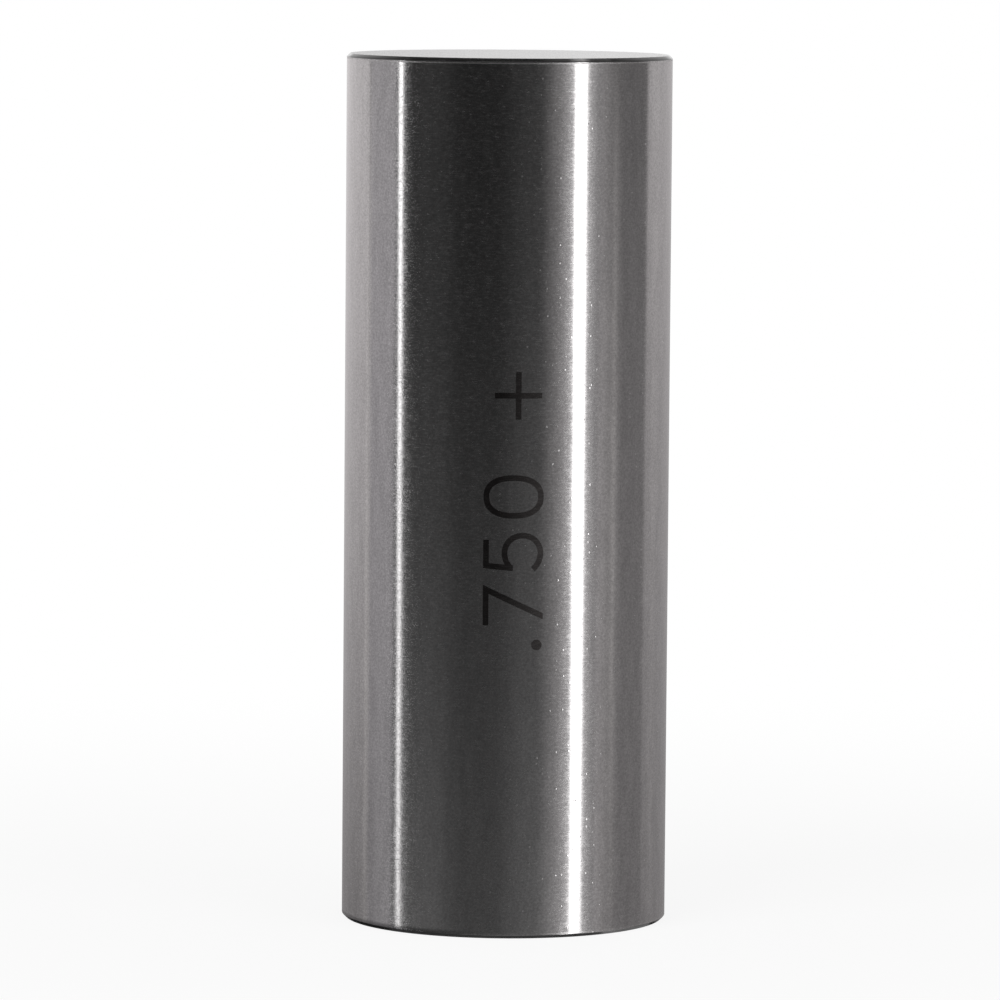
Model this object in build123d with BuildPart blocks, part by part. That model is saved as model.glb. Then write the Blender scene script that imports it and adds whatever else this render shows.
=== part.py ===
from build123d import *
import os

# A pin gauge: one hardened steel cylinder, ground true on the barrel, with flat, square
# ends and a small chamfer round each of them.
# Millimetres. The origin is the centre of the lower end face, and +Z runs along the axis.

os.makedirs("parts", exist_ok=True)

# Driving sizes
gauge_diameter = 19.05      # the measuring size, three quarters of an inch
gauge_length = 50.8         # from end face to end face, two inches
chamfer_length = 0.2        # each leg of the 45 degree chamfer round both ends
edge_radius = 0.06          # the slight round that takes the burr off each chamfer's edges

# Gauge pin
with BuildPart() as gauge_pin:
    # the ground barrel
    with BuildSketch():
        Circle(radius=gauge_diameter / 2)
    extrude(amount=gauge_length)

    # the lead-in chamfer at both ends
    end_rims = gauge_pin.edges().filter_by(GeomType.CIRCLE)
    chamfer(end_rims, length=chamfer_length)

    # each chamfer's two edges, against its end face and against the barrel, are broken
    chamfer_edges = gauge_pin.edges().filter_by(GeomType.CIRCLE)
    fillet(chamfer_edges, radius=edge_radius)

gauge_pin.part.label = "gauge_pin"
export_step(gauge_pin.part, "parts/gauge_pin.step")
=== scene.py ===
"""Dresses the pin gauge: ground steel on the pin, its size figures, and a plain studio round it.

Every length is in metres and every angle in radians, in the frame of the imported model: the
origin is the centre of the lower end face, +Z runs along the axis, and -Y faces the camera.
Only the studio's tables are in millimetres and degrees.
"""

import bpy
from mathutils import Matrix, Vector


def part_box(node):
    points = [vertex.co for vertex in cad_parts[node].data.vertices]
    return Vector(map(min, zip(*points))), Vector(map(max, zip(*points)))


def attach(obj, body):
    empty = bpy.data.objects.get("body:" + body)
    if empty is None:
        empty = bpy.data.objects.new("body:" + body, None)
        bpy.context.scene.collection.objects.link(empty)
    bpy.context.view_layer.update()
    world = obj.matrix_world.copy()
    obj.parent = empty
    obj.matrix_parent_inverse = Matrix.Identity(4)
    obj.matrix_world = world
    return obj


bl_info = {
    "name": "Pin gauge",
    "version": (1, 0, 0),
    "blender": (4, 5, 0),
    "location": "View3D > Sidebar > Pin gauge",
    "description": "Ground steel, size figures and a studio for a pin gauge",
    "category": "Object",
}

from math import cos, pi, radians, sin
from types import SimpleNamespace

import bpy
from bpy.props import FloatProperty, FloatVectorProperty, PointerProperty, StringProperty
from mathutils import Quaternion, Vector

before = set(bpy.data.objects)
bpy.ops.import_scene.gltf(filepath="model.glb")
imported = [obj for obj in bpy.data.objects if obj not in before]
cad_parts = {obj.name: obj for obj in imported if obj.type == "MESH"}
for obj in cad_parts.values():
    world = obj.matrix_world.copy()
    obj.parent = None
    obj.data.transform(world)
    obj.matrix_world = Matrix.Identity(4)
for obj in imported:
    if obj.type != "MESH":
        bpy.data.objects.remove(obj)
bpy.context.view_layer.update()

MM = 0.001
PIN_NODE = "gauge_pin"
BODY = "root"

# The pin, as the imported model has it
PIN_LOW, PIN_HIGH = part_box(PIN_NODE)
PIN_RADIUS = (PIN_HIGH.x - PIN_LOW.x) / 2
PIN_LENGTH = PIN_HIGH.z - PIN_LOW.z
PIN_MIDDLE = (PIN_HIGH.z + PIN_LOW.z) / 2


# Settings that a user would change

class GaugeSteel(bpy.types.PropertyGroup):
    """The finish of the ground steel."""

    color: FloatVectorProperty(
        name="Steel colour", description="Reflected colour of the bare steel",
        subtype="COLOR", size=3, min=0.0, max=1.0, default=(0.565, 0.554, 0.555))
    line_length: FloatProperty(
        name="Line length", description="Length of a grinding line round the barrel",
        default=0.45 * MM, min=0.0, unit="LENGTH")
    line_pitch: FloatProperty(
        name="Line pitch", description="Height of a grinding line along the axis",
        default=0.06 * MM, min=0.0, unit="LENGTH")
    smooth: FloatProperty(
        name="Roughness between lines", description="Roughness of the steel between its lines",
        default=0.165, min=0.0, max=1.0, subtype="FACTOR")
    rough: FloatProperty(
        name="Roughness in lines", description="Roughness of the steel in a grinding line",
        default=0.235, min=0.0, max=1.0, subtype="FACTOR")
    end_rough: FloatProperty(
        name="Roughness of the ends", description="Roughness of the lapped end faces",
        default=0.3, min=0.0, max=1.0, subtype="FACTOR")
    chamfer_rough: FloatProperty(
        name="Roughness of the chamfers", description="Roughness of the chamfer round each end",
        default=0.14, min=0.0, max=1.0, subtype="FACTOR")
    chamfer: FloatProperty(
        name="Chamfer", description="Height of the chamfer, which has no grinding lines",
        default=0.2 * MM, min=0.0, unit="LENGTH")
    speck_size: FloatProperty(
        name="Speck size", description="Width of a fine pit in the ground surface",
        default=0.125 * MM, min=0.0, unit="LENGTH")


class GaugeMark(bpy.types.PropertyGroup):
    """The size figures on the barrel."""

    figures: StringProperty(
        name="Figures", description="Diameter in inches, with + on a plus gauge",
        default=".750 +")
    color: FloatVectorProperty(
        name="Mark colour", description="Colour of the dark oxide of the figures",
        subtype="COLOR", size=3, min=0.0, max=1.0, default=(0.2, 0.185, 0.182))
    rough: FloatProperty(
        name="Mark roughness", description="Roughness of the dark oxide",
        default=0.24, min=0.0, max=1.0, subtype="FACTOR")
    height: FloatProperty(
        name="Figure height", description="Height of a figure, measured round the barrel",
        default=3.48 * MM, min=0.0, unit="LENGTH")
    stroke: FloatProperty(
        name="Stroke", description="Width of a figure's stroke",
        default=0.33 * MM, min=0.0, unit="LENGTH")
    gap: FloatProperty(
        name="Gap", description="Space between two figures",
        default=0.81 * MM, min=0.0, unit="LENGTH")
    start: FloatProperty(
        name="Start", description="Height on the pin at which the first figure starts",
        default=16.777 * MM, unit="LENGTH")
    base_angle: FloatProperty(
        name="Baseline", description="Angle round the axis, from the front, of the baseline",
        default=radians(12.96), subtype="ANGLE")
    proud: FloatProperty(
        name="Proud", description="How far the oxide stands above the barrel",
        default=0.006 * MM, min=0.0, unit="LENGTH")
    depth: FloatProperty(
        name="Depth", description="How deep the oxide reaches into the barrel",
        default=0.02 * MM, min=0.0, unit="LENGTH")


class GaugeStage(bpy.types.PropertyGroup):
    """The camera and the studio."""

    distance: FloatProperty(
        name="Camera distance", description="Distance from the camera to its aim point",
        default=425.5 * MM, min=0.0, unit="LENGTH")
    elevation: FloatProperty(
        name="Camera elevation", description="Angle of the camera above the horizon",
        default=radians(5.10), subtype="ANGLE")
    roll: FloatProperty(
        name="Camera roll", description="Lean of the camera about its own view line",
        default=radians(0.451), subtype="ANGLE")
    lens: FloatProperty(
        name="Lens", description="Focal length in millimetres on a 36 mm sensor",
        default=260.6, min=1.0)
    aim_side: FloatProperty(
        name="Aim side", description="Sideways place of the aim point",
        default=-0.375 * MM, unit="LENGTH")
    aim_height: FloatProperty(
        name="Aim height", description="Height of the aim point",
        default=24.613 * MM, unit="LENGTH")
    wall: FloatProperty(
        name="Wall distance", description="Distance from the axis to the booth's outermost card",
        default=160 * MM, min=0.0, unit="LENGTH")
    fill: FloatProperty(
        name="Fill", description="Even light that reaches matt surfaces, where 1 is white",
        default=0.45, min=0.0, max=1.0, subtype="FACTOR")
    floor_size: FloatProperty(
        name="Floor size", description="Width of the pale floor",
        default=1600 * MM, min=0.0, unit="LENGTH")


# Node helpers

def feed(tree, socket, value):
    """Links value to socket if it is an output, and otherwise writes it there."""
    if isinstance(value, bpy.types.NodeSocket):
        tree.links.new(value, socket)
    else:
        socket.default_value = value


def node(tree, kind, inputs=(), **settings):
    """A new node with its settings made and its inputs fed, by name or by number."""
    made = tree.nodes.new(kind)
    for name, value in settings.items():
        setattr(made, name, value)
    for name, value in dict(inputs).items():
        feed(tree, made.inputs[name], value)
    return made


def maths(tree, operation, *values, clamp=False):
    """The result of a Math node fed with values."""
    made = node(tree, "ShaderNodeMath", operation=operation, use_clamp=clamp)
    for socket, value in zip(made.inputs, values):
        feed(tree, socket, value)
    return made.outputs[0]


def vector_maths(tree, operation, *values):
    """The vector result of a Vector Math node fed with values."""
    made = node(tree, "ShaderNodeVectorMath", operation=operation)
    for socket, value in zip(made.inputs, values):
        feed(tree, socket, value)
    return made.outputs[0]


def ramp(tree, value, low, high, to_low=0.0, to_high=1.0, kind="SMOOTHSTEP"):
    """Value carried from the range low..high to the range to_low..to_high."""
    inputs = {"Value": value, "From Min": low, "From Max": high,
              "To Min": to_low, "To Max": to_high}
    return node(tree, "ShaderNodeMapRange", inputs, interpolation_type=kind).outputs["Result"]


def graded(tree, mask, at_zero, at_one):
    """A number that goes evenly from at_zero, where mask is 0, to at_one, where it is 1."""
    return ramp(tree, mask, 0.0, 1.0, at_zero, at_one, kind="LINEAR")


def blend(tree, factor, a, b):
    """A number between a, where factor is 0, and b, where it is 1."""
    made = node(tree, "ShaderNodeMix", {0: factor, 2: a, 3: b}, data_type="FLOAT")
    return made.outputs[0]


def product(tree, first, *others):
    """The product of two or more values."""
    result = first
    for value in others:
        result = maths(tree, "MULTIPLY", result, value)
    return result


def noise(tree, place, size, detail):
    """Noise in patches that are about size across."""
    return node(tree, "ShaderNodeTexNoise",
                {"Vector": place, "Scale": 1 / size, "Detail": detail}).outputs["Fac"]


def new_group(kind, name, inputs, outputs):
    """An empty node tree with named sockets, its input node and its output node.

    An input is (name, socket type, default) and an output is (name, socket type).
    """
    tree = bpy.data.node_groups.new(name, kind)
    for label, socket, default in inputs:
        made = tree.interface.new_socket(label, in_out="INPUT", socket_type=socket)
        if default is not None:
            made.default_value = default
    for label, socket in outputs:
        tree.interface.new_socket(label, in_out="OUTPUT", socket_type=socket)
    return tree, tree.nodes.new("NodeGroupInput").outputs, tree.nodes.new("NodeGroupOutput")


def new_material(name):
    """A material with an empty node tree, and that tree."""
    material = bpy.data.materials.new(name)
    material.use_nodes = True
    material.node_tree.nodes.clear()
    return material, material.node_tree


# Shader groups and finish that the steel and the mark share

# The size of a patch of the slow drift, sideways, front to back and up the pin
DRIFT_PATCH = (0.5 * MM, 0.5 * MM, 2.6 * MM)

# How much smoother the steel is round the barrel than along it, and the turn between the two
SMOOTHER_ROUND = 0.9
QUARTER_TURN = 0.25

# The unit of the relief's heights, a thousandth of a millimetre
MICRON = 0.001 * MM


def grinding_lines():
    """Fine lines round the barrel, and a slow drift of the tone along it."""
    name = "grinding lines"
    if name in bpy.data.node_groups:
        return bpy.data.node_groups[name]
    tree, given, out = new_group(
        "ShaderNodeTree", name,
        [("Length", "NodeSocketFloat", 0.45 * MM), ("Pitch", "NodeSocketFloat", 0.06 * MM)],
        [("Lines", "NodeSocketFloat"), ("Drift", "NodeSocketFloat")])
    place = node(tree, "ShaderNodeTexCoord").outputs["Object"]
    cell = node(tree, "ShaderNodeCombineXYZ",
                {"X": given["Length"], "Y": given["Length"], "Z": given["Pitch"]}).outputs[0]
    lines = node(tree, "ShaderNodeTexNoise",
                 {"Vector": vector_maths(tree, "DIVIDE", place, cell),
                  "Scale": 1.0, "Detail": 1.0, "Roughness": 0.6})
    feed(tree, out.inputs["Lines"], ramp(tree, lines.outputs["Fac"], 0.42, 0.72))
    broad = vector_maths(tree, "DIVIDE", place, DRIFT_PATCH)
    drift = node(tree, "ShaderNodeTexNoise",
                 {"Vector": broad, "Scale": 1.0, "Detail": 2.0, "Roughness": 0.5})
    feed(tree, out.inputs["Drift"], ramp(tree, drift.outputs["Fac"], 0.3, 0.7, kind="LINEAR"))
    return tree


def fine_specks():
    """Scattered tiny pits: 1 in a pit and 0 elsewhere."""
    name = "fine specks"
    if name in bpy.data.node_groups:
        return bpy.data.node_groups[name]
    tree, given, out = new_group(
        "ShaderNodeTree", name,
        [("Size", "NodeSocketFloat", 0.125 * MM), ("Share", "NodeSocketFloat", 0.5)],
        [("Specks", "NodeSocketFloat")])
    place = node(tree, "ShaderNodeTexCoord").outputs["Object"]
    spread = maths(tree, "MULTIPLY", given["Size"], 3.0)
    cells = node(tree, "ShaderNodeTexVoronoi",
                 {"Vector": place, "Scale": maths(tree, "DIVIDE", 1.0, spread)})
    near = ramp(tree, cells.outputs["Distance"], 0.09, 0.2, 1.0, 0.0)
    chance = node(tree, "ShaderNodeSeparateColor", {0: cells.outputs["Color"]}).outputs[0]
    chosen = ramp(tree, chance, maths(tree, "SUBTRACT", 1.0, given["Share"]), 1.0)
    feed(tree, out.inputs["Specks"], maths(tree, "MULTIPLY", near, chosen))
    return tree


def use_group(tree, group, **inputs):
    """A group node with its inputs fed."""
    made = node(tree, "ShaderNodeGroup", node_tree=group)
    for name, value in inputs.items():
        feed(tree, made.inputs[name], value)
    return made.outputs


def metal(tree, color, rough, normal, end=0.0):
    """A bare metal that is smoother round the barrel than along it.

    Where end is 1, its fine marks run straight over the face instead of round it.
    """
    shader = node(tree, "ShaderNodeBsdfPrincipled",
                  {"Base Color": color, "Metallic": 1.0, "Roughness": rough,
                   "Anisotropic": SMOOTHER_ROUND, "Anisotropic Rotation": QUARTER_TURN,
                   "Normal": normal})
    tangent = node(tree, "ShaderNodeTangent", direction_type="RADIAL", axis="Z").outputs[0]
    along = node(tree, "ShaderNodeMix", {0: end, 4: tangent, 5: (0.0, 1.0, 0.0)},
                 data_type="VECTOR").outputs[1]
    feed(tree, shader.inputs["Tangent"], along)
    out = node(tree, "ShaderNodeOutputMaterial")
    feed(tree, out.inputs["Surface"], shader.outputs[0])


def shade_of(tree, color, brightness):
    """A colour made darker or lighter by a number that changes over the surface."""
    made = node(tree, "ShaderNodeVectorMath", {0: color, "Scale": brightness}, operation="SCALE")
    return made.outputs[0]


# Sizes of the patches in the barrel's mottles, the lapped ends and the barrel's grain
MOTTLE_SIZE = 0.3 * MM
LAP_SIZE = 0.25 * MM
GRAIN_SIZE = 0.13 * MM

# An end face is what lies nearer than this to the pin's own end
END_MARGIN = 0.005 * MM

# Where a band beside a chamfer starts, is full, starts to fade and ends, as distances from the
# chamfer's edge towards the middle of the pin; a distance below zero is over the chamfer. The
# first band is the scuffed line, rougher and painted paler as a glint, and the second is painted
# shade at the chamfer's edge
SCUFF_GLINT_STOPS = (0.135 * MM, 0.1 * MM, 0.06 * MM, 0.035 * MM)
EDGE_SHADE_STOPS = (0.035 * MM, 0.02 * MM, 0.0, -0.17 * MM)

# Stretches over which something changes: sideways the painted shade at the chamfer's edge and
# low on the left, and the pits, and up the pin the scuffed line with its painted glint and the
# painted shade low on the left
LEFT_SHADE_SIDE = (-4.5 * MM, -0.5 * MM)
PIT_SIDE = (-4 * MM, 1 * MM)
SCUFF_GLINT_RISE = (10 * MM, 40 * MM)
FOOT_SHADE_RISE = (0.27 * MM, 0.5 * MM)

# The share of places that hold a pit, and how strong pits, with their painted glint, are on the
# left and the scuffed line with its painted glint is at the foot
PIT_SHARE = 0.5
LEFT_PITS = 0.2
FOOT_SCUFF_GLINT = 0.3

# The roughness of a pit and of the scuffed line
PIT_ROUGH = 0.32
SCUFF_ROUGH = 0.5

# The tone of each, as a share of the steel's own: pits and the scuffed line are painted paler
# as glints, and the chamfer's edge and the barrel low on the left are painted darker as shade
PIT_GLINT_TONE = 1.3
PAINTED_GLINT_TONE = 1.5
EDGE_SHADE_TONE = 0.42
FOOT_SHADE_TONE = 0.4

# The height of the burr at a pit and of a grinding line, in thousandths of a millimetre
PIT_HEIGHT = 4.2
LINE_HEIGHT = 0.2


def pin_regions(tree, steel):
    """Values that say where a point of the pin lies.

    barrel and end are 1 on the barrel and on an end face and 0 elsewhere, and left is 1 on
    the left of the pin. shoulder is how far from the middle a chamfer meets the barrel.
    """
    place = node(tree, "ShaderNodeTexCoord").outputs["Object"]
    axes = node(tree, "ShaderNodeSeparateXYZ", {0: place}).outputs
    from_middle = maths(tree, "ABSOLUTE", maths(tree, "SUBTRACT", axes["Z"], PIN_MIDDLE))
    shoulder = PIN_LENGTH / 2 - steel.chamfer
    return SimpleNamespace(
        place=place, side=axes["X"], height=axes["Z"], from_middle=from_middle,
        shoulder=shoulder, barrel=maths(tree, "LESS_THAN", from_middle, shoulder),
        end=maths(tree, "GREATER_THAN", from_middle, PIN_LENGTH / 2 - END_MARGIN),
        left=ramp(tree, axes["X"], *LEFT_SHADE_SIDE, 1.0, 0.0))


def beside_chamfers(tree, at, stops):
    """1 in a band round the pin at both chamfers, and 0 away from it."""
    start, full, fading, gone = (at.shoulder - stop for stop in stops)
    rise = ramp(tree, at.from_middle, start, full)
    fall = ramp(tree, at.from_middle, fading, gone, 1.0, 0.0)
    return maths(tree, "MULTIPLY", rise, fall)


def pin_pits_and_glints(tree, steel, at):
    """The pits in the ground surface, faint on the left; their paler colour is a painted glint."""
    specks = use_group(tree, fine_specks(), Size=steel.speck_size, Share=PIT_SHARE)["Specks"]
    return maths(tree, "MULTIPLY", specks, ramp(tree, at.side, *PIT_SIDE, LEFT_PITS, 1.0))


def scuff_and_painted_glint(tree, at):
    """A narrow scuffed line beside each chamfer, fainter at the foot, that is also painted paler
    as a glint.
    """
    beside = beside_chamfers(tree, at, SCUFF_GLINT_STOPS)
    return maths(tree, "MULTIPLY", beside, ramp(tree, at.height, *SCUFF_GLINT_RISE, FOOT_SCUFF_GLINT, 1.0))


def edge_painted_shade(tree, at):
    """Painted shade where a chamfer meets the barrel, at the foot only on the left."""
    upper = maths(tree, "GREATER_THAN", at.height, PIN_MIDDLE)
    edge_shade = maths(tree, "MAXIMUM", at.left, upper)
    return maths(tree, "MULTIPLY", beside_chamfers(tree, at, EDGE_SHADE_STOPS), edge_shade)


def foot_painted_shade(tree, at):
    """Painted shade on the barrel, low on the left."""
    near_foot = ramp(tree, at.height, *FOOT_SHADE_RISE, 1.0, 0.0)
    return product(tree, near_foot, at.left, at.barrel)


def steel_roughness(tree, steel, at, lines, pits, scuff_and_glint):
    """Lines, mottles, pits and a scuffed line on the barrel, bright chamfers, and lapped ends."""
    mottles = ramp(tree, noise(tree, at.place, MOTTLE_SIZE, 1.0), 0.42, 0.72, 0.96, 1.2)
    barrel = maths(tree, "MULTIPLY", blend(tree, lines, steel.smooth, steel.rough), mottles)
    barrel = blend(tree, pits, barrel, PIT_ROUGH)
    barrel = blend(tree, scuff_and_glint, barrel, SCUFF_ROUGH)
    lap = ramp(tree, noise(tree, at.place, LAP_SIZE, 3.0), 0.3, 0.7, 0.85, 1.15)
    end = maths(tree, "MULTIPLY", lap, steel.end_rough)
    rough = blend(tree, at.barrel, steel.chamfer_rough, barrel)
    return blend(tree, at.end, rough, end)


def steel_tone(tree, at, ground, pits, scuff_and_glint):
    """How much lighter or darker than its colour the steel is.

    The tone drifts slowly, lines are a little lighter, pits and the scuffed line are painted
    lighter as glints, the chamfer's edge and the barrel low on the left are painted darker as
    shade, and the barrel has a fine grain.
    """
    drift = graded(tree, ground["Drift"], 0.94, 1.06)
    lines = graded(tree, ground["Lines"], 0.97, 1.06)
    # painted glint: pits are painted paler, and fainter on the left
    pale = graded(tree, pits, 1.0, PIT_GLINT_TONE)
    # painted glint: the scuffed line is painted paler
    painted_glint = graded(tree, scuff_and_glint, 1.0, PAINTED_GLINT_TONE)
    # painted shade where a chamfer meets the barrel, and at the foot on the left
    edge_shade = graded(tree, edge_painted_shade(tree, at), 1.0, EDGE_SHADE_TONE)
    # painted shade on the barrel low on the left, by the foot
    foot_shade = graded(tree, foot_painted_shade(tree, at), 1.0, FOOT_SHADE_TONE)
    grain = ramp(tree, noise(tree, at.place, GRAIN_SIZE, 1.0), 0.3, 0.7, 0.87, 1.13, kind="LINEAR")
    barrel_grain = blend(tree, at.barrel, 1.0, grain)
    return product(tree, drift, lines, pale, painted_glint, edge_shade, foot_shade, barrel_grain)


def ground_steel(steel):
    """Ground on the barrel, lapped on the ends, and bright on the chamfers between them."""
    material, tree = new_material("ground steel")
    ground = use_group(tree, grinding_lines(), Length=steel.line_length, Pitch=steel.line_pitch)
    at = pin_regions(tree, steel)
    pits = pin_pits_and_glints(tree, steel, at)
    scuff_and_glint = scuff_and_painted_glint(tree, at)
    rough = steel_roughness(tree, steel, at, ground["Lines"], pits, scuff_and_glint)
    color = shade_of(tree, steel.color, steel_tone(tree, at, ground, pits, scuff_and_glint))

    # the relief is on the barrel alone: shallow lines, and a raised burr at each pit
    line_relief = maths(tree, "MULTIPLY", ground["Lines"], LINE_HEIGHT)
    relief = maths(tree, "MULTIPLY_ADD", pits, PIT_HEIGHT, line_relief)
    bump = node(tree, "ShaderNodeBump",
                {"Strength": 1.0, "Distance": MICRON,
                 "Height": maths(tree, "MULTIPLY", relief, at.barrel)})
    metal(tree, color, rough, bump.outputs[0], at.end)
    return material


# The figures are painted paler towards their baseline, a painted sheen from the bright strip
# beside them: where across the pin the mark is darkest and where it is palest, and its tone at
# both as a share of its own
MARK_SHEEN_SIDE = (-1.0 * MM, 2.1 * MM)
MARK_SHEEN_TONES = (0.62, 1.22)

# The share of places in the mark that hold a pit, the roughness of such a pit, and how much of
# the lines' relief the oxide leaves
MARK_PIT_SHARE = 0.3
MARK_PIT_ROUGH = 0.5
MARK_RELIEF = 0.3


def mark_oxide(mark, steel):
    """Dark oxide burnt into the ground steel, whose lines still show through it."""
    material, tree = new_material("mark oxide")
    ground = use_group(tree, grinding_lines(), Length=steel.line_length, Pitch=steel.line_pitch)
    specks = use_group(tree, fine_specks(), Size=steel.speck_size, Share=MARK_PIT_SHARE)["Specks"]
    tone = graded(tree, ground["Lines"], 0.85, 1.15)
    place = node(tree, "ShaderNodeTexCoord").outputs["Object"]
    side = node(tree, "ShaderNodeSeparateXYZ", {0: place}).outputs["X"]
    # painted sheen: the figures are painted paler towards their baseline
    thin = ramp(tree, side, *MARK_SHEEN_SIDE, *MARK_SHEEN_TONES)
    color = shade_of(tree, mark.color, maths(tree, "MULTIPLY", tone, thin))
    lined = ramp(tree, ground["Lines"], 0.0, 1.0, 0.9 * mark.rough, 1.1 * mark.rough)
    rough = blend(tree, specks, lined, MARK_PIT_ROUGH)
    bump = node(tree, "ShaderNodeBump",
                {"Strength": MARK_RELIEF, "Distance": MICRON, "Height": ground["Lines"]})
    metal(tree, color, rough, bump.outputs[0])
    return material


# Size figures: the spacing of the points along a stroke, the width of a space, the dot's
# radius, the height of its middle and its sides, and the least corner that is left sharp
STEP = 0.06 * MM
SPACE = 2.4 * MM
DOT_RADIUS = 0.31 * MM
DOT_UP = 0.36 * MM
DOT_SIDES = 40
SHARP_CORNER = radians(30)


def line(a, b):
    """Points on a straight stroke from a to b, a step apart."""
    a, b = Vector(a), Vector(b)
    count = max(1, round((b - a).length / STEP))
    return [a.lerp(b, i / count) for i in range(count + 1)]


def arc(centre, across, up, first, last, power=2.0):
    """Points on a round stroke with semi-axes across and up, from angle first to last.

    A power above 2 makes it squarer than an ellipse.
    """
    count = max(4, round(abs(last - first) * max(across, up) / STEP))
    points = []
    for i in range(count + 1):
        angle = first + (last - first) * i / count
        x, y = cos(angle), sin(angle)
        reach = (abs(x) ** power + abs(y) ** power) ** (-1 / power)
        points.append(Vector(centre) + Vector((across * x * reach, up * y * reach)))
    return points


# Each figure gives its strokes, as lists of points on their centre lines, and its width

def dot(mark):
    """The decimal point, which has no stroke, because the tree adds it as a disc."""
    return [], 2 * DOT_RADIUS


def seven(mark):
    """A bar at the top, and a straight leg that leans to the right."""
    top = mark.height - mark.stroke / 2
    foot = Vector((0.54 * MM, 0))
    head = Vector((2.163 * MM, mark.height))
    over = (head - foot).normalized() * mark.stroke
    return [line((0, top), (2.05 * MM, top)), line(foot - over, head + over)], 2.345 * MM


def five(mark):
    """A bar, a short upright under its left end, and a bowl that is open on the left."""
    half = mark.stroke / 2
    top = mark.height - half
    bowl_up = 1.042 * MM
    bowl = (1.053 * MM, bowl_up + half)
    bar = line((0.153 * MM, top), (1.8 * MM, top))
    upright = line((0.165 * MM, 1.76 * MM), (0.3 * MM, top))
    head = arc(bowl, 1.15 * MM, bowl_up, radians(138), radians(90))
    belly = arc(bowl, 1.0 * MM, bowl_up, radians(90), radians(-90))
    tail = arc(bowl, 1.15 * MM, bowl_up, radians(-90), radians(-145))
    return [bar, upright, head + belly[1:] + tail[1:]], 2.22 * MM


def zero(mark):
    """A closed round stroke, a little squarer than an ellipse."""
    half = mark.stroke / 2
    width = 2.5 * MM
    centre = (width / 2, mark.height / 2)
    return [arc(centre, width / 2 - half, mark.height / 2 - half, 0, 2 * pi, 2.35)], width


def plus(mark):
    """Two strokes that cross in their middles."""
    width = 2.74 * MM
    arm = width / 2
    middle = Vector((arm, 1.503 * MM))
    return [line(middle - Vector((arm, 0)), middle + Vector((arm, 0))),
            line(middle - Vector((0, arm)), middle + Vector((0, arm)))], width


FIGURES = {".": dot, "7": seven, "5": five, "0": zero, "+": plus}


def figure_outline(mark):
    """One mesh of edges along the centre lines of all the figures, laid flat.

    The figures read along +X and stand up along +Y. With the mesh come the middle of each
    dot along the row, and the row's length.
    """
    points, edges, dots = [], [], []
    cursor = 0.0
    for figure in mark.figures:
        if figure == " ":
            cursor += SPACE
            continue
        if figure not in FIGURES:
            raise ValueError(f"the mark has no figure {figure!r}")
        strokes, width = FIGURES[figure](mark)
        if not strokes:
            dots.append(cursor + width / 2)
        for stroke in strokes:
            first = len(points)
            closed = (stroke[0] - stroke[-1]).length < STEP / 10
            if closed:
                stroke = stroke[:-1]
            points += [(cursor + p.x, p.y, 0) for p in stroke]
            last = len(points) - 1
            edges += [(i, i + 1) for i in range(first, last)]
            if closed:
                edges.append((last, first))
        cursor += width + mark.gap
    mesh = bpy.data.meshes.new("size figures outline")
    mesh.from_pydata(points, edges, [])
    return mesh, dots, cursor


def swept_strokes(tree, given, film):
    """Strokes of a rectangular section, swept along their centre lines."""
    section = node(tree, "GeometryNodeCurvePrimitiveQuadrilateral",
                   {"Width": given["Stroke"], "Height": film})
    curves = node(tree, "GeometryNodeMeshToCurve", {"Mesh": given["Geometry"]})
    upright = node(tree, "GeometryNodeSetCurveNormal", {"Curve": curves.outputs[0]}, mode="Z_UP")
    swept = node(tree, "GeometryNodeCurveToMesh",
                 {"Curve": upright.outputs[0], "Profile Curve": section.outputs[0],
                  "Fill Caps": True})
    return swept.outputs[0]


def dot_disc(tree, given, film):
    """The dot as a disc."""
    disc = node(tree, "GeometryNodeMeshCylinder",
                {"Vertices": DOT_SIDES, "Radius": given["Dot Radius"], "Depth": film},
                fill_type="TRIANGLE_FAN")
    place = node(tree, "ShaderNodeCombineXYZ",
                 {"X": given["Dot Across"], "Y": given["Dot Up"]}).outputs[0]
    moved = node(tree, "GeometryNodeTransform",
                 {"Geometry": disc.outputs["Mesh"], "Translation": place})
    return moved.outputs[0]


def trimmed_strokes(tree, given, film, strokes):
    """Overlapping strokes made one solid, cut flat at the figures' foot and head.

    The band that cuts them is wider and thicker than the row, and as high as the figures.
    """
    joined = node(tree, "GeometryNodeMeshBoolean", operation="UNION", solver="EXACT")
    joined.inputs["Self Intersection"].default_value = True
    tree.links.new(strokes, joined.inputs["Mesh 2"])
    band_size = node(tree, "ShaderNodeCombineXYZ",
                     {"X": maths(tree, "MULTIPLY", given["Row Length"], 2.0),
                      "Y": given["Figure Height"],
                      "Z": maths(tree, "MULTIPLY", film, 4.0)}).outputs[0]
    band_box = node(tree, "GeometryNodeMeshCube", {"Size": band_size})
    band_place = node(tree, "ShaderNodeCombineXYZ",
                      {"X": maths(tree, "MULTIPLY", given["Row Length"], 0.5),
                       "Y": maths(tree, "MULTIPLY", given["Figure Height"], 0.5)}).outputs[0]
    band = node(tree, "GeometryNodeTransform",
                {"Geometry": band_box.outputs["Mesh"], "Translation": band_place})
    trimmed = node(tree, "GeometryNodeMeshBoolean", operation="INTERSECT", solver="EXACT")
    tree.links.new(joined.outputs["Mesh"], trimmed.inputs["Mesh 2"])
    tree.links.new(band.outputs["Geometry"], trimmed.inputs["Mesh 2"])
    return trimmed.outputs["Mesh"]


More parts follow.
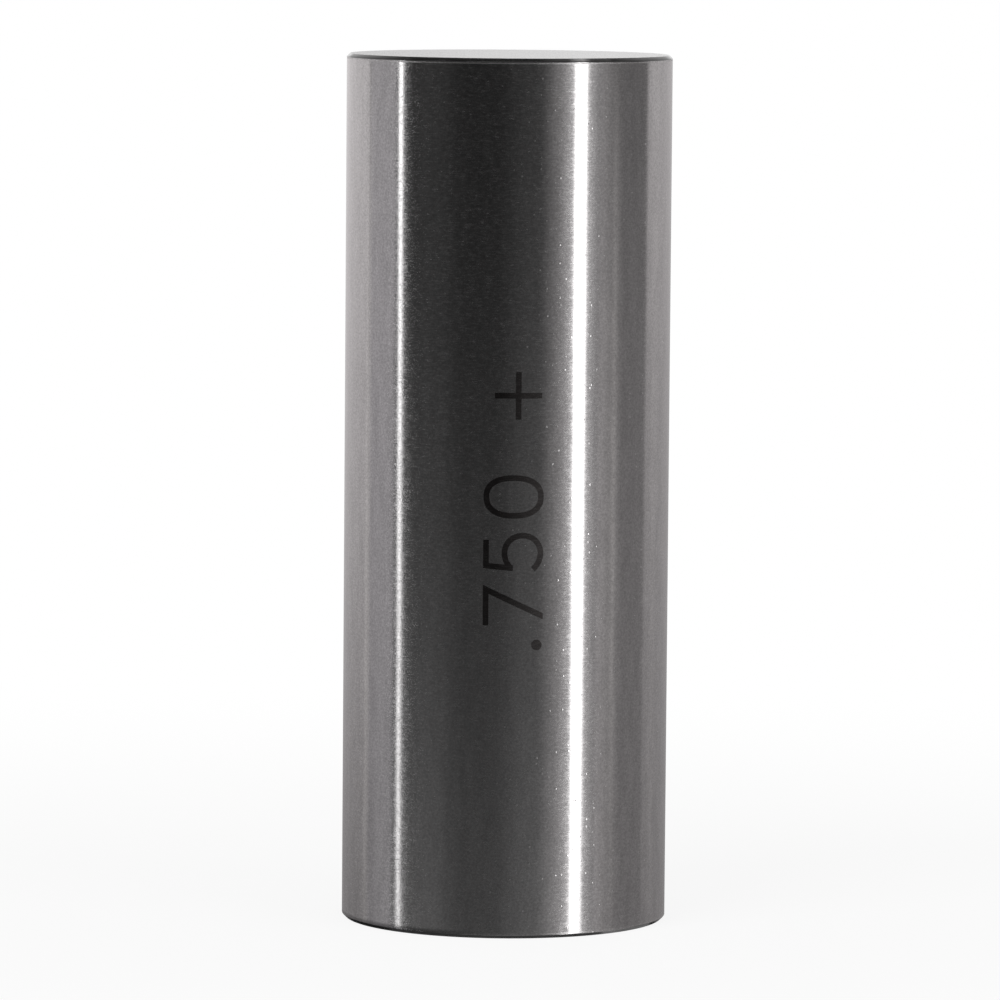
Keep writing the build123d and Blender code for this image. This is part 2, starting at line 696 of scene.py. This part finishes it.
def bent_round(tree, given, row):
    """The flat row bent round the barrel: its X runs up the pin, and its Y runs round it."""
    place = node(tree, "GeometryNodeInputPosition").outputs[0]
    flat = node(tree, "ShaderNodeSeparateXYZ", {0: place}).outputs
    middle = maths(tree, "MULTIPLY", maths(tree, "SUBTRACT", given["Proud"], given["Depth"]), 0.5)
    reach = maths(tree, "ADD", given["Barrel Radius"], maths(tree, "ADD", flat["Z"], middle))
    angle = maths(tree, "SUBTRACT", given["Base Angle"],
                  maths(tree, "DIVIDE", flat["Y"], given["Barrel Radius"]))
    bent = node(tree, "ShaderNodeCombineXYZ",
                {"X": maths(tree, "MULTIPLY", reach, maths(tree, "SINE", angle)),
                 "Y": maths(tree, "MULTIPLY", reach,
                            maths(tree, "MULTIPLY", maths(tree, "COSINE", angle), -1.0)),
                 "Z": maths(tree, "ADD", flat["X"], given["Start"])}).outputs[0]
    wrapped = node(tree, "GeometryNodeSetPosition", {"Geometry": row, "Position": bent})
    return wrapped.outputs[0]


def sharp_bordered(tree, film_mesh):
    """The film with a smooth face and a sharp border."""
    smooth = node(tree, "GeometryNodeSetShadeSmooth",
                  {"Geometry": film_mesh, "Shade Smooth": True}, domain="FACE")
    corner = node(tree, "GeometryNodeInputMeshEdgeAngle").outputs["Unsigned Angle"]
    sharp = node(tree, "GeometryNodeSetShadeSmooth",
                 {"Geometry": smooth.outputs[0], "Shade Smooth": False,
                  "Selection": maths(tree, "GREATER_THAN", corner, SHARP_CORNER)}, domain="EDGE")
    return sharp.outputs[0]


def figure_tree():
    """Geometry Nodes that give the strokes their width, join them and bend them on the barrel."""
    lengths = [("Stroke", 0.33 * MM), ("Figure Height", 3.48 * MM), ("Row Length", 20 * MM),
               ("Dot Across", 0.0), ("Dot Up", DOT_UP), ("Dot Radius", DOT_RADIUS),
               ("Barrel Radius", PIN_RADIUS), ("Start", 0.0), ("Base Angle", 0.0),
               ("Proud", 0.006 * MM), ("Depth", 0.02 * MM)]
    tree, given, out = new_group(
        "GeometryNodeTree", "size figures",
        [("Geometry", "NodeSocketGeometry", None)]
        + [(name, "NodeSocketFloat", value) for name, value in lengths]
        + [("Material", "NodeSocketMaterial", None)],
        [("Geometry", "NodeSocketGeometry")])
    film = maths(tree, "ADD", given["Proud"], given["Depth"])
    strokes = swept_strokes(tree, given, film)
    disc = dot_disc(tree, given, film)
    solid = trimmed_strokes(tree, given, film, strokes)
    row = node(tree, "GeometryNodeJoinGeometry")
    tree.links.new(solid, row.inputs[0])
    tree.links.new(disc, row.inputs[0])
    wrapped = bent_round(tree, given, row.outputs[0])
    bordered = sharp_bordered(tree, wrapped)
    real = node(tree, "GeometryNodeRealizeInstances", {"Geometry": bordered})
    finished = node(tree, "GeometryNodeSetMaterial",
                    {"Geometry": real.outputs[0], "Material": given["Material"]})
    feed(tree, out.inputs["Geometry"], finished.outputs[0])
    return tree


def run_tree(host, tree, inputs):
    """The plain mesh that a Geometry Nodes tree makes of the host object."""
    modifier = host.modifiers.new(tree.name, "NODES")
    modifier.node_group = tree
    for item in tree.interface.items_tree:
        if item.in_out == "INPUT" and item.name in inputs:
            modifier[item.identifier] = inputs[item.name]
    depsgraph = bpy.context.evaluated_depsgraph_get()
    mesh = bpy.data.meshes.new_from_object(host.evaluated_get(depsgraph), depsgraph=depsgraph)
    host.modifiers.remove(modifier)
    return mesh


# Studio

# The booth's wall, and the stretch of it that the barrel reflects to the camera
WALL_LOW = -170 * MM
WALL_HIGH = 260 * MM
SEEN_LOW = -20 * MM
SEEN_HIGH = 50 * MM

# A card at the rear, past REAR, fades in from CARD_LOW to the stretch. Above the stretch a card
# fades out up to CARD_HIGH and a strip up to STRIP_HIGH, the tint is lost over UNTINT, and
# HIGH_LEVEL is the most that a card glows.
REAR = radians(120)
CARD_LOW = -60 * MM
CARD_HIGH = 300 * MM
STRIP_HIGH = 120 * MM
UNTINT = 10 * MM
HIGH_LEVEL = 0.62

# The angle that one column of a card's mesh spans, the gap from a card to the one behind it, how
# far the cards above and below the stretch stand in front of the wall's first card, and how far
# the wall itself stands behind that card
COLUMN = radians(2)
CARD_GAP = 1 * MM
FRONT_GAP = 20 * MM
WALL_GAP = 10 * MM

# The glow of the dark booth's wall, floor and roof, and what the roof gains towards +X over
# the given stretch
WALL_GLOW = 0.02
FLOOR_GLOW = 0.06
ROOF_GLOW = 0.03
ROOF_GAIN = 0.07
ROOF_STRETCH = (35 * MM, 75 * MM)

# Tints of the booth's cards
WHITE = (1.0, 1.0, 1.0)
WARM = (1.0, 0.962, 0.97)
BEIGE = (1.0, 0.968, 0.94)
LILAC = (1.0, 0.965, 1.0)

# The booth's cards: the name, the tint, the azimuth of the middle from the front, the width,
# the soft border and the lean in degrees, and the brightness at the top, middle and foot
WALL_CARDS = (
    ("rear left softbox", WARM, -147.1, 62.8, 3, 0, 0.78, 0.545, 0.24),
    ("left seam", BEIGE, -113.7, 2.2, 2.5, 0, 0.0, 0.3, 0.16),
    ("left bounce", LILAC, -98.8, 23.6, 4.5, 0, 0.48, 0.425, 0.22),
    ("left strip", WHITE, -79.6, 2.2, 1.0, -2.1, 3.6, 2.3, 1.6),
    ("left halo", WHITE, -78, 4, 8, -2, 0.06, 0.05, 0.05),
    ("left front fill", WHITE, -62, 10, 30, 0, 0.03, 0.02, 0.065),
    ("front fill", WHITE, -30, 140, 10, 0, 0.0, 0.016, 0.075),
    ("right front fill", WHITE, 25, 10, 30, 0, 0.03, 0.045, 0.075),
    ("right strip", WHITE, 50.5, 6.5, 1.8, -0.2, 3.9, 3.0, 2.1),
    ("right halo", WHITE, 51.8, 10, 12, -1.1, 0.32, 0.25, 0.22),
    ("right glow", WARM, 49.8, 14, 23, -1.1, 0.3, 0.28, 0.25),
    ("right soft line", BEIGE, 76, 8, 8, 0, 0.0, 0.1, 0.03),
    ("right thin line", BEIGE, 79, 1.5, 2, 0, 0.0, 0.16, 0.0),
    ("right bounce", WARM, 89, 44, 4, 0, 0.14, 0.215, 0.2),
    ("right seam", BEIGE, 125, 5, 5, 0, 0.05, 0.03, 0.03),
    ("rear right softbox", WARM, 146.5, 64, 4, 0, 0.55, 0.38, 0.26),
)

# Cards above and below the stretch that the barrel reflects to the camera: the name, the
# azimuth of the middle, the width and the soft border in degrees, the lower and the upper
# edge in mm, and the brightness
HIGH_AND_LOW_CARDS = (
    ("rear window", 170, 14, 4, 51, 100, 0.24),
    ("rear high window", -177, 24, 5, 60, 125, 0.44),
    ("front top softbox", 0, 200, 15, 115, 250, 0.4),
    ("front skirt", 0, 140, 10, -170, -70, 0.15),
    ("right rear skirt", 120, 90, 8, -170, -60, 0.16),
    ("rear skirt", -175, 20, 8, -170, -85, 0.12),
)

# Soft lights under the booth's roof, which is dark over the gauge itself: the name, the
# left, right, front and rear edge in mm, and the brightness. They hang 5 mm below the roof.
ROOF_SHEETS = (
    ("front roof softbox", -100, 100, -155, -85, 0.4),
    ("rear roof softbox", -45, 45, 80, 150, 0.4),
    ("left roof softbox", -155, -110, -75, -10, 0.4),
    ("right roof softbox", 95, 155, -75, -5, 0.3),
    ("roof lamp", 78, 104, 24, 60, 0.8),
)
ROOF_SHEET_HEIGHT = WALL_HIGH / MM - 5

# An upright softbox at the rear: how far it reaches to each side, its place towards the rear
# and its lower and upper edge in mm, and the brightness
REAR_SOFTBOX = (36, 145, 115, 245, 0.6)

# The lamps: the name, the place and the width in metres, and the power in watts
LAMPS = (
    ("soft key", (-0.25, -0.35, 0.45), 0.3, 1.2),
    ("soft fill", (0.35, -0.3, 0.35), 0.3, 0.6),
)

# The camera's sensor in mm, and the nearest and farthest that it sees
SENSOR = 36.0
CLIP = (10 * MM, 10000 * MM)

# The background's white, the floor's colour, the share of plain white in what is seen of the
# floor at the gauge, and how far from the axis that share starts to grow and is whole
PLAIN_WHITE = (1.0, 1.0, 1.0, 1.0)
FLOOR_COLOR = (0.85, 0.85, 0.85, 1.0)
NEAR_WHITE = 0.88
WHITE_STRETCH = (20 * MM, 120 * MM)


def card(name, tint, azimuth, width, feather, lean, levels, low, high, distance):
    """A glowing card on the wall that only reflections see.

    It is centred on an azimuth from the front and fades out over feather at both sides. It
    leans sideways by lean over the stretch that the barrel reflects, and levels is its
    brightness at the top, the middle and the foot of that stretch.
    """
    span = width + 2 * feather
    mesh = card_mesh(name, azimuth, span, lean, low, high, distance)
    rises = abs(azimuth) > REAR and high > SEEN_LOW
    material = card_glow(name, tint, feather / span, levels, low, high, rises)
    only_reflected(add_stage(name, mesh, material))


def card_mesh(name, azimuth, span, lean, low, high, distance):
    """A curved sheet, with a UV map that goes from 0 to 1 across it and up it."""
    columns = max(2, round(span / COLUMN))
    stretch = SEEN_HIGH - SEEN_LOW
    points, faces = [], []
    for i in range(columns + 1):
        for height in (low, high):
            shift = lean * ((height - SEEN_LOW) / stretch - 0.5)
            angle = azimuth + shift + span * (i / columns - 0.5)
            points.append((distance * sin(angle), -distance * cos(angle), height))
    for i in range(columns):
        faces.append((2 * i, 2 * i + 1, 2 * i + 3, 2 * i + 2))
    mesh = bpy.data.meshes.new(name)
    mesh.from_pydata(points, [], faces)
    uv_map = mesh.uv_layers.new(name="card")
    for loop in mesh.loops:
        column, upper = divmod(loop.vertex_index, 2)
        uv_map.data[loop.index].uv = (column / columns, upper)
    return mesh


def card_glow(name, tint, border, levels, low, high, rises):
    """The glow of a card or a strip; border is the share of its width in each soft border.

    Above the stretch it loses its tint and fades out, a strip sooner than a card, and only a
    strip is brighter than HIGH_LEVEL there. One that rises fades in below the stretch.
    """
    strip = "strip" in name
    material, tree = new_material(name)
    uv = node(tree, "ShaderNodeUVMap", uv_map="card").outputs[0]
    across = node(tree, "ShaderNodeSeparateXYZ", {0: uv}).outputs
    edge = maths(tree, "SUBTRACT", 0.5,
                 maths(tree, "ABSOLUTE", maths(tree, "SUBTRACT", across["X"], 0.5)))
    fade = ramp(tree, edge, 0.0, border)
    height = ramp(tree, across["Y"], 0.0, 1.0, low, high, kind="LINEAR")
    end = STRIP_HIGH if strip else CARD_HIGH
    overhead = ramp(tree, height, SEEN_HIGH, end, 1.0, 0.0, kind="LINEAR")
    fade = maths(tree, "MULTIPLY", fade, maths(tree, "MULTIPLY", overhead, overhead))
    if rises:
        fade = maths(tree, "MULTIPLY", fade, ramp(tree, height, CARD_LOW, SEEN_LOW))

    level = card_level(tree, height, levels)
    above = ramp(tree, height, SEEN_HIGH, SEEN_HIGH + UNTINT)
    color = node(tree, "ShaderNodeMix", {0: above, 4: tint, 5: WHITE}, data_type="VECTOR")
    if not strip:
        level = blend(tree, above, level, maths(tree, "MINIMUM", level, HIGH_LEVEL))
    glow = node(tree, "ShaderNodeEmission",
                {"Color": color.outputs[1], "Strength": maths(tree, "MULTIPLY", fade, level)})
    clear = node(tree, "ShaderNodeBsdfTransparent")
    both = node(tree, "ShaderNodeAddShader", {0: glow.outputs[0], 1: clear.outputs[0]})
    out = node(tree, "ShaderNodeOutputMaterial")
    feed(tree, out.inputs["Surface"], both.outputs[0])
    return material


def card_level(tree, height, levels):
    """The brightness at a height, on a parabola through the three levels."""
    top, middle, foot = levels
    bend = 2 * (top + foot - 2 * middle)
    slope = top - foot - bend
    up = ramp(tree, height, SEEN_LOW, SEEN_HIGH, kind="LINEAR")
    return maths(tree, "MULTIPLY_ADD", maths(tree, "MULTIPLY_ADD", up, bend, slope), up, foot)


def softbox(name, corners, strength):
    """A flat glowing sheet with the given corners, in mm."""
    mesh = bpy.data.meshes.new(name)
    mesh.from_pydata([Vector(corner) * MM for corner in corners], [], [(0, 1, 2, 3)])
    glowing(name, mesh, strength)


def glowing(name, mesh, strength, gain=0.0):
    """A glowing piece of the studio that only reflections see."""
    only_reflected(add_stage(name, mesh, plain_glow(name, strength, gain)))


def add_stage(name, mesh, material):
    """An object of the studio, which is no part of the gauge."""
    mesh.materials.append(material)
    made = bpy.data.objects.new(name, mesh)
    bpy.context.scene.collection.objects.link(made)
    return made


def only_reflected(piece):
    """Hides a piece of the studio from all but reflections."""
    piece.visible_camera = False
    piece.visible_diffuse = False
    piece.visible_transmission = False
    piece.visible_shadow = False


def tube_mesh(name, radius, low, high, segments=96):
    """An open tube round the axis."""
    points, faces = [], []
    for i in range(segments):
        angle = 2 * pi * i / segments
        points.append((radius * sin(angle), -radius * cos(angle), low))
        points.append((radius * sin(angle), -radius * cos(angle), high))
    for i in range(segments):
        j = (i + 1) % segments
        faces.append((2 * i, 2 * i + 1, 2 * j + 1, 2 * j))
    mesh = bpy.data.meshes.new(name)
    mesh.from_pydata(points, [], faces)
    return mesh


def disc_mesh(name, radius, height, segments=64):
    """A flat disc square to the axis."""
    points = [(radius * sin(2 * pi * i / segments), -radius * cos(2 * pi * i / segments), height)
              for i in range(segments)]
    mesh = bpy.data.meshes.new(name)
    mesh.from_pydata(points, [], [tuple(range(segments))])
    return mesh


def plain_glow(name, strength, gain=0.0):
    """A glow that is even, or that grows by gain towards +X over ROOF_STRETCH."""
    material, tree = new_material(name)
    level = strength
    if gain:
        place = node(tree, "ShaderNodeTexCoord").outputs["Object"]
        across = node(tree, "ShaderNodeSeparateXYZ", {0: place}).outputs["X"]
        level = ramp(tree, across, *ROOF_STRETCH, strength, strength + gain)
    glow = node(tree, "ShaderNodeEmission", {"Strength": level})
    out = node(tree, "ShaderNodeOutputMaterial")
    feed(tree, out.inputs["Surface"], glow.outputs[0])
    return material


def booth_shell(stage):
    """The dark booth's wall, floor and roof."""
    radius = stage.wall + WALL_GAP
    glowing("booth wall", tube_mesh("booth wall", radius, WALL_LOW, WALL_HIGH), WALL_GLOW)
    glowing("booth floor", disc_mesh("booth floor", radius, WALL_LOW), FLOOR_GLOW)
    glowing("booth roof", disc_mesh("booth roof", radius, WALL_HIGH), ROOF_GLOW, ROOF_GAIN)


def roof_lights():
    """The soft lights under the roof, and the upright one at the rear."""
    for name, left, right, front, back, strength in ROOF_SHEETS:
        corners = [(x, y, ROOF_SHEET_HEIGHT)
                   for x, y in ((left, front), (right, front), (right, back), (left, back))]
        softbox(name, corners, strength)
    side, back, low, high, strength = REAR_SOFTBOX
    corners = [(x, back, z) for x, z in ((-side, low), (side, low), (side, high), (-side, high))]
    softbox("rear top softbox", corners, strength)


def wall_lights(stage):
    """The cards on the wall, each a little in front of the last."""
    for i, values in enumerate(WALL_CARDS):
        name, tint, azimuth, width, feather, lean, *levels = values
        card(name, tint, radians(azimuth), radians(width), radians(feather), radians(lean),
             levels, WALL_LOW, WALL_HIGH, stage.wall - i * CARD_GAP)
    for i, values in enumerate(HIGH_AND_LOW_CARDS):
        name, azimuth, width, feather, low, high, level = values
        card(name, WHITE, radians(azimuth), radians(width), radians(feather), 0.0,
             (level,) * 3, low * MM, high * MM, stage.wall - FRONT_GAP - i * CARD_GAP)


def pale_floor(stage):
    """A pale floor that shows white and keeps the shadow of the gauge."""
    material, tree = new_material("pale floor")
    matt = node(tree, "ShaderNodeBsdfPrincipled",
                {"Base Color": FLOOR_COLOR, "Roughness": 0.9, "Specular IOR Level": 0.0})
    white = node(tree, "ShaderNodeEmission", {"Strength": 1.0})
    seen = seen_directly(tree)
    place = node(tree, "ShaderNodeTexCoord").outputs["Object"]
    away = node(tree, "ShaderNodeVectorMath", {0: place}, operation="LENGTH").outputs["Value"]
    share = ramp(tree, away, *WHITE_STRETCH, NEAR_WHITE, 1.0)
    both = node(tree, "ShaderNodeMixShader",
                {0: maths(tree, "MULTIPLY", seen, share), 1: matt.outputs[0],
                 2: white.outputs[0]})
    out = node(tree, "ShaderNodeOutputMaterial")
    feed(tree, out.inputs["Surface"], both.outputs[0])
    floor = add_stage("pale floor", disc_mesh("pale floor", stage.floor_size / 2, 0.0), material)
    floor.visible_glossy = False


def seen_directly(tree):
    """1 for what the camera, a reflection or glass sees, and 0 for light on matt surfaces."""
    path = node(tree, "ShaderNodeLightPath").outputs
    seen = maths(tree, "ADD", path["Is Camera Ray"], path["Is Glossy Ray"])
    return maths(tree, "ADD", seen, path["Is Transmission Ray"], clamp=True)


def studio_world(stage):
    """White where it is seen, and an even fill for matt surfaces."""
    world = bpy.data.worlds.new("studio")
    world.use_nodes = True
    tree = world.node_tree
    tree.nodes.clear()
    fill = node(tree, "ShaderNodeBackground", {"Color": PLAIN_WHITE, "Strength": stage.fill})
    white = node(tree, "ShaderNodeBackground", {"Color": PLAIN_WHITE, "Strength": 1.0})
    both = node(tree, "ShaderNodeMixShader",
                {0: seen_directly(tree), 1: fill.outputs[0], 2: white.outputs[0]})
    out = node(tree, "ShaderNodeOutputWorld")
    feed(tree, out.inputs["Surface"], both.outputs[0])
    bpy.context.scene.world = world


def lamp(name, place, size, power):
    """A soft square lamp that faces the gauge and isn't reflected in it."""
    data = bpy.data.lights.new(name, "AREA")
    data.size = size
    data.energy = power
    made = bpy.data.objects.new(name, data)
    made.location = place
    aim = Vector((0, 0, PIN_MIDDLE))
    made.rotation_mode = "QUATERNION"
    made.rotation_quaternion = (aim - Vector(place)).to_track_quat("-Z", "Y")
    bpy.context.scene.collection.objects.link(made)
    made.visible_camera = False
    made.visible_glossy = False


def photo_camera(stage):
    """The camera at the photograph's viewing angle."""
    data = bpy.data.cameras.new("photo camera")
    data.sensor_width = SENSOR
    data.lens = stage.lens
    data.clip_start, data.clip_end = CLIP
    camera = bpy.data.objects.new("photo camera", data)
    back = Vector((0, -cos(stage.elevation), sin(stage.elevation)))
    camera.location = Vector((stage.aim_side, 0, stage.aim_height)) + back * stage.distance
    camera.rotation_mode = "QUATERNION"
    lean = Quaternion((0, 0, 1), stage.roll)
    camera.rotation_quaternion = (-back).to_track_quat("-Z", "Y") @ lean
    bpy.context.scene.collection.objects.link(camera)
    bpy.context.scene.camera = camera


# Operators

class GAUGE_OT_steel(bpy.types.Operator):
    """Gives the pin its ground and lapped steel"""

    bl_idname = "gauge.steel"
    bl_label = "Ground steel"

    def execute(self, context):
        material = ground_steel(context.scene.gauge_steel)
        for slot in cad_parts[PIN_NODE].material_slots:
            slot.material = material
        return {"FINISHED"}


class GAUGE_OT_mark(bpy.types.Operator):
    """Burns the size figures into the barrel"""

    bl_idname = "gauge.mark"
    bl_label = "Size figures"

    def execute(self, context):
        mark = context.scene.gauge_mark
        outline, dots, row_length = figure_outline(mark)
        host = bpy.data.objects.new("size figures outline", outline)
        context.scene.collection.objects.link(host)
        mesh = run_tree(host, figure_tree(), {
            "Stroke": mark.stroke, "Figure Height": mark.height, "Row Length": row_length,
            "Dot Across": dots[0], "Barrel Radius": PIN_RADIUS, "Start": mark.start,
            "Base Angle": mark.base_angle, "Proud": mark.proud, "Depth": mark.depth,
            "Material": mark_oxide(mark, context.scene.gauge_steel)})
        bpy.data.objects.remove(host)
        bpy.data.meshes.remove(outline)
        mesh.name = "size_figures"
        figures = bpy.data.objects.new("size_figures", mesh)
        context.scene.collection.objects.link(figures)
        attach(figures, BODY)
        return {"FINISHED"}


class GAUGE_OT_stage(bpy.types.Operator):
    """Sets up the floor, the booth, the lamps and the camera"""

    bl_idname = "gauge.stage"
    bl_label = "Studio"

    def execute(self, context):
        stage = context.scene.gauge_stage
        context.scene.view_settings.view_transform = "Standard"
        studio_world(stage)
        pale_floor(stage)
        booth_shell(stage)
        roof_lights()
        wall_lights(stage)
        for values in LAMPS:
            lamp(*values)
        photo_camera(stage)
        return {"FINISHED"}


class GAUGE_PT_panel(bpy.types.Panel):
    """Lists the steps that dress the gauge"""

    bl_idname = "GAUGE_PT_panel"
    bl_label = "Pin gauge"
    bl_space_type = "VIEW_3D"
    bl_region_type = "UI"
    bl_category = "Pin gauge"

    def draw(self, context):
        groups = (("gauge_steel", "gauge.steel"), ("gauge_mark", "gauge.mark"),
                  ("gauge_stage", "gauge.stage"))
        for group, operator in groups:
            box = self.layout.box()
            settings = getattr(context.scene, group)
            for name in settings.__annotations__:
                box.prop(settings, name)
            box.operator(operator)


CLASSES = (GaugeSteel, GaugeMark, GaugeStage, GAUGE_OT_steel, GAUGE_OT_mark, GAUGE_OT_stage,
           GAUGE_PT_panel)


def register():
    """Registers the classes, and gives the scene their settings."""
    for cls in CLASSES:
        bpy.utils.register_class(cls)
    bpy.types.Scene.gauge_steel = PointerProperty(type=GaugeSteel)
    bpy.types.Scene.gauge_mark = PointerProperty(type=GaugeMark)
    bpy.types.Scene.gauge_stage = PointerProperty(type=GaugeStage)


def unregister():
    """Takes back what register did."""
    del bpy.types.Scene.gauge_stage
    del bpy.types.Scene.gauge_mark
    del bpy.types.Scene.gauge_steel
    for cls in reversed(CLASSES):
        bpy.utils.unregister_class(cls)


def main():
    """Dresses the gauge."""
    register()
    bpy.ops.gauge.steel()
    bpy.ops.gauge.mark()
    bpy.ops.gauge.stage()


if __name__ == "__main__":
    main()
